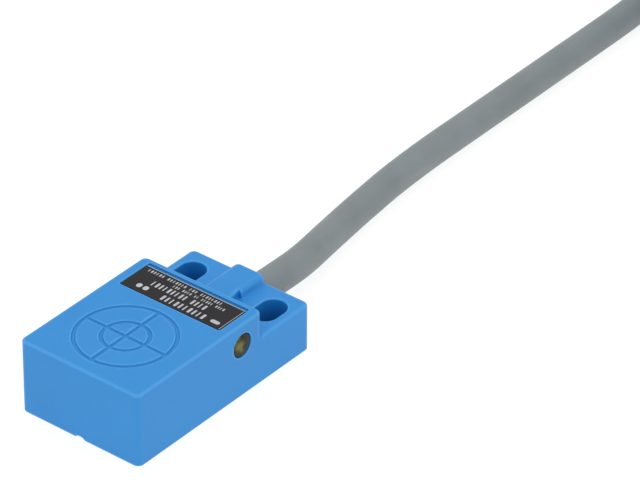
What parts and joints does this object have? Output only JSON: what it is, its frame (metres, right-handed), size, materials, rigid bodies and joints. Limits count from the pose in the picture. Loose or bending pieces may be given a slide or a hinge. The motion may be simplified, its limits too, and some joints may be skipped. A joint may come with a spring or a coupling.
{
  "type": "proximity sensor",
  "caption": "Flat rectangular inductive proximity sensor with a plastic housing, slotted mounting ledge, side indicator lamp and a fixed lead folded into a tied hank.",
  "frame": {"origin": "centre of the housing's bottom face, which rests on the mounting surface", "axes": "+Z out of the sensing face, +Y along the housing towards the cable, +X towards the side wall with the indicator lamp"},
  "size_m": [0.0369, 0.2205, 0.0221],
  "materials": {
    "housing_blue": "fine moulded PBT, satin",
    "cover_blue": "moulded PBT, matt",
    "label_black": "printed film, satin",
    "label_print": "light grey ink",
    "lamp_amber": "clear tinted epoxy",
    "cable_grey": "extruded PVC, satin",
    "resin_dark": "cast epoxy",
    "ferrite_grey": "sintered ferrite",
    "former_natural": "natural nylon",
    "winding_copper": "enamelled copper wire",
    "board_green": "glass epoxy board with solder resist",
    "package_black": "moulded component package",
    "chip_ceramic": "ceramic chip",
    "tantalum_yellow": "moulded capacitor case",
    "tinned_metal": "tinned copper and solder",
    "conductor_brown": "PVC insulation",
    "conductor_blue": "PVC insulation",
    "conductor_black": "PVC insulation",
    "tie_black": "moulded nylon tie"
  },
  "bodies": {
    "root": {"housing": "housing_blue", "base_cover": "cover_blue", "sealing_bead": "resin_dark", "rating_label": "label_black", "ferrite_core": "ferrite_grey", "coil_bobbin": "former_natural", "coil_winding": "winding_copper", "coil_lead_start": "winding_copper", "coil_lead_end": "winding_copper", "circuit_board": "board_green", "oscillator_ic": "package_black", "output_transistor": "package_black", "protection_diode": "package_black", "resonance_capacitor": "chip_ceramic", "filter_capacitor": "chip_ceramic", "smoothing_capacitor": "tantalum_yellow", "gain_resistor": "package_black", "bias_resistor": "package_black", "led_resistor": "package_black", "indicator_led": "lamp_amber", "led_anode_lead": "tinned_metal", "led_cathode_lead": "tinned_metal", "cable_jacket_inner": "cable_grey", "cable_clamp": "tinned_metal", "core_brown_inner": "conductor_brown", "core_blue_inner": "conductor_blue", "core_black_inner": "conductor_black", "solder_brown": "tinned_metal", "solder_blue": "tinned_metal", "solder_black": "tinned_metal", "cable_run": "cable_grey", "cable_hank": "cable_grey", "cable_tail": "cable_grey", "cable_tie": "tie_black", "core_brown_tail": "conductor_brown", "core_blue_tail": "conductor_blue", "core_black_tail": "conductor_black", "tip_brown": "tinned_metal", "tip_blue": "tinned_metal", "tip_black": "tinned_metal"}
  },
  "joints": []
}
